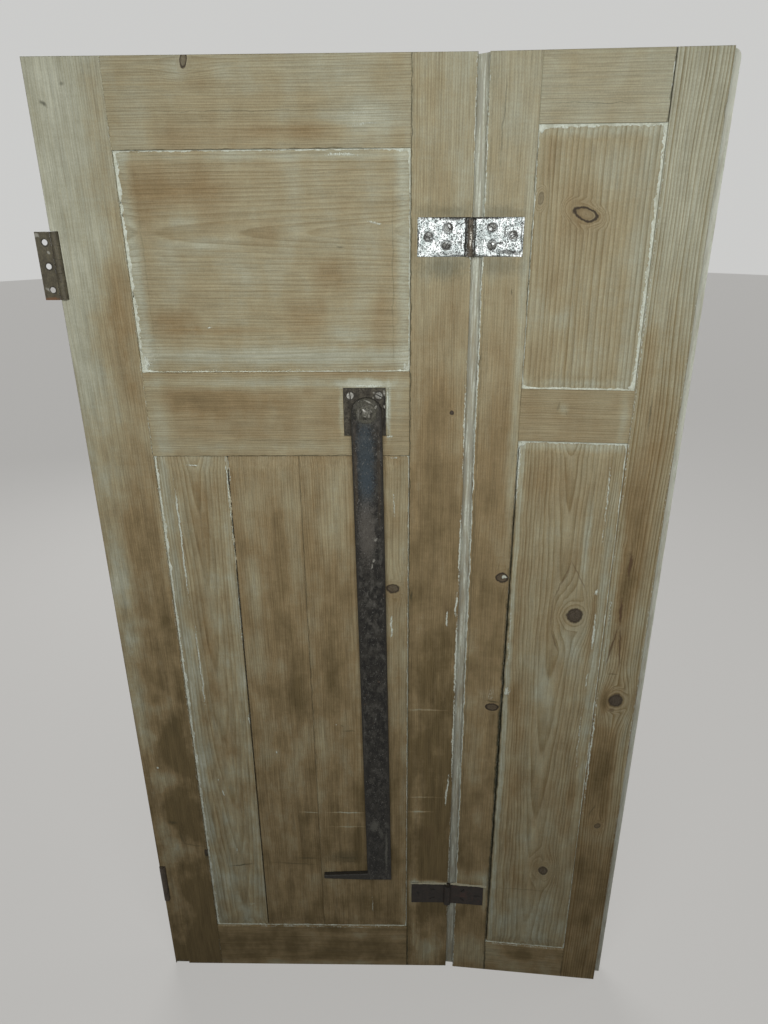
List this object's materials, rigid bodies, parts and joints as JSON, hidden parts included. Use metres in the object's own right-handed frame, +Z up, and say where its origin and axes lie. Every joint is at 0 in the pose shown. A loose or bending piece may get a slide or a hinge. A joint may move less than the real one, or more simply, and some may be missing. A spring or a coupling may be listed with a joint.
{
  "type": "window shutter",
  "caption": "Old panelled pine window shutter with a narrow flap hinged to its wide leaf, butt hinges on the hanging edge and an iron locking bar pivoted on the face.",
  "frame": {"origin": "on the floor line, under the middle of the whole shutter as it stands with the flap a little ajar", "axes": "+X across the room face from the hanging edge to the flap, +Y from the room face to the window side, +Z up"},
  "size_m": [0.6392, 0.0472, 1.168],
  "materials": {
    "pine": "stripped and washed, matt, with paint left in the corners",
    "zinced_iron": "worn zinc with dark specks",
    "brown_iron": "dull brown, old",
    "forged_iron": "black, rubbed, slightly sheeny",
    "hinge_pin": "rubbed iron",
    "dark_screw": "tarnished",
    "bright_screw": "bright, scratched"
  },
  "bodies": {
    "window_fixing": {"upper_butt_loose_leaf": "brown_iron"},
    "main_leaf": {"main_hanging_stile": "pine", "main_flap_side_stile": "pine", "main_top_rail": "pine", "main_middle_rail": "pine", "main_bottom_rail": "pine", "main_upper_panel": "pine", "main_lower_board_left": "pine", "main_lower_board_middle": "pine", "main_lower_board_right": "pine", "main_tenon_wedges": "pine", "upper_butt_fixed_leaf": "brown_iron", "upper_butt_pin": "hinge_pin", "upper_butt_screws": "dark_screw", "lower_butt_fixed_leaf": "brown_iron", "lower_butt_pin": "hinge_pin", "lower_butt_screws": "dark_screw", "upper_backflap_main_plate": "zinced_iron", "upper_backflap_pin": "hinge_pin", "upper_backflap_main_screws": "dark_screw", "lower_backflap_main_plate": "brown_iron", "lower_backflap_pin": "hinge_pin", "lower_backflap_main_screws": "dark_screw", "bar_back_plate": "forged_iron", "bar_plate_screws": "bright_screw", "bar_pivot_rivet": "forged_iron"},
    "lower_butt_leaf": {"lower_butt_loose_leaf": "brown_iron"},
    "flap": {"flap_hinge_stile": "pine", "flap_closing_stile": "pine", "flap_top_rail": "pine", "flap_middle_rail": "pine", "flap_bottom_rail": "pine", "flap_upper_panel": "pine", "flap_lower_panel": "pine", "upper_backflap_flap_plate": "zinced_iron", "upper_backflap_flap_screws": "dark_screw", "lower_backflap_flap_plate": "brown_iron", "lower_backflap_flap_screws": "dark_screw"},
    "bar": {"locking_bar": "forged_iron"}
  },
  "joints": [
    {"name": "main_swing", "type": "hinge", "parent": "window_fixing", "child": "main_leaf", "pos_m": [-0.30159, -0.00483, 0.9925], "axis": [0, 0, 1], "range_deg": [-90, 90]},
    {"name": "lower_butt_swing", "type": "hinge", "parent": "main_leaf", "child": "lower_butt_leaf", "pos_m": [-0.30159, -0.00483, 0.1655], "axis": [0, 0, 1], "range_deg": [0, 180]},
    {"name": "flap_fold", "type": "hinge", "parent": "main_leaf", "child": "flap", "pos_m": [0.09296, -0.00583, 1.0165], "axis": [0, 0, -1], "range_deg": [-5, 165]},
    {"name": "bar_swing", "type": "hinge", "parent": "main_leaf", "child": "bar", "pos_m": [-0.00784, -0.00833, 0.846], "axis": [0, -1, 0], "range_deg": [-90, 3]}
  ]
}
